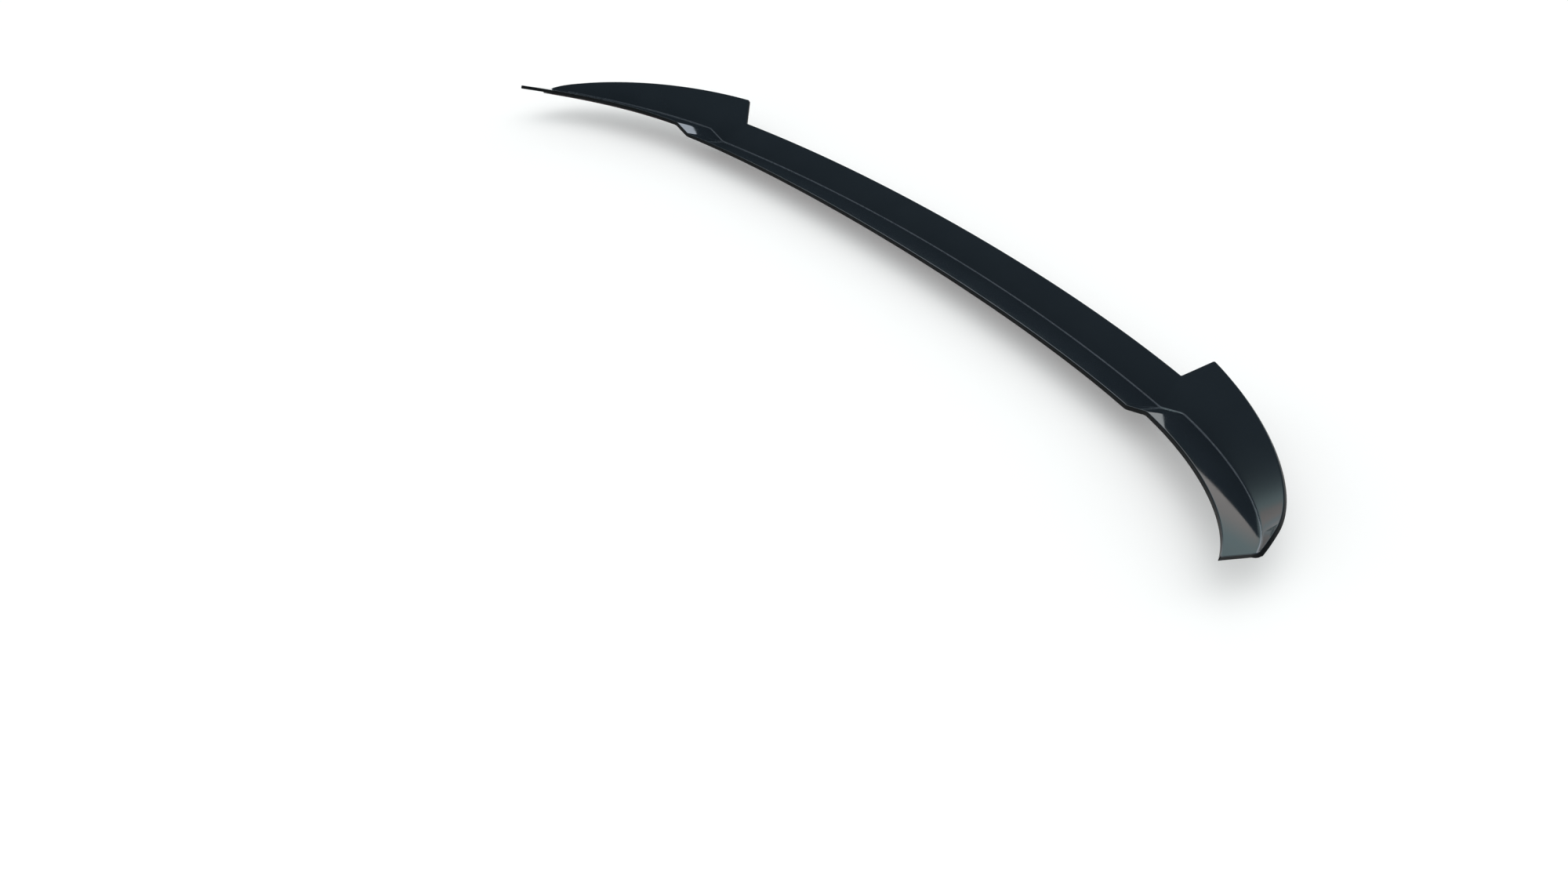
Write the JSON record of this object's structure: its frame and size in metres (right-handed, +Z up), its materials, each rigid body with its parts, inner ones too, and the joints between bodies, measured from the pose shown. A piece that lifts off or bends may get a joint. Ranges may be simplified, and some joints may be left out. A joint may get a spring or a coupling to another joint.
{
  "type": "stick-on rear spoiler cap",
  "caption": "Curved stick-on spoiler lip for a car's rear edge: thin gloss black sheet with a flat flange, an upturned lip and raised ears, on foam tape with red liners.",
  "frame": {"origin": "middle of the glue face, on the underside of the centre release liner, in the car's middle plane", "axes": "+X to the car's left along the part's length, -Y towards the car's front, +Z up as the part sits on the car"},
  "size_m": [1.2068, 0.223, 0.0431],
  "materials": {
    "gloss_black_abs": "gloss black with a blue cast on top, satin underneath",
    "black_acrylic_foam": "matt black closed-cell foam",
    "red_liner_film": "satin red plastic film"
  },
  "bodies": {
    "shell": {"spoiler_shell": "gloss_black_abs", "foam_tape_centre": "black_acrylic_foam", "foam_tape_ramp_left": "black_acrylic_foam", "foam_tape_ramp_right": "black_acrylic_foam", "foam_tape_ear_left": "black_acrylic_foam", "foam_tape_ear_right": "black_acrylic_foam"},
    "liner_centre": {"release_liner_centre": "red_liner_film"},
    "liner_ramp_left": {"release_liner_ramp_left": "red_liner_film"},
    "liner_ramp_right": {"release_liner_ramp_right": "red_liner_film"},
    "liner_ear_left": {"release_liner_ear_left": "red_liner_film"},
    "liner_ear_right": {"release_liner_ear_right": "red_liner_film"}
  },
  "joints": [
    {"name": "peel_centre", "type": "slide", "parent": "shell", "child": "liner_centre", "axis": [0, -1, 0], "range_m": [0, 0.1]},
    {"name": "peel_ramp_left", "type": "slide", "parent": "shell", "child": "liner_ramp_left", "axis": [0, -1, 0], "range_m": [0, 0.1]},
    {"name": "peel_ramp_right", "type": "slide", "parent": "shell", "child": "liner_ramp_right", "axis": [0, -1, 0], "range_m": [0, 0.1]},
    {"name": "peel_ear_left", "type": "slide", "parent": "shell", "child": "liner_ear_left", "axis": [0, -1, 0], "range_m": [0, 0.1]},
    {"name": "peel_ear_right", "type": "slide", "parent": "shell", "child": "liner_ear_right", "axis": [0, -1, 0], "range_m": [0, 0.1]}
  ]
}
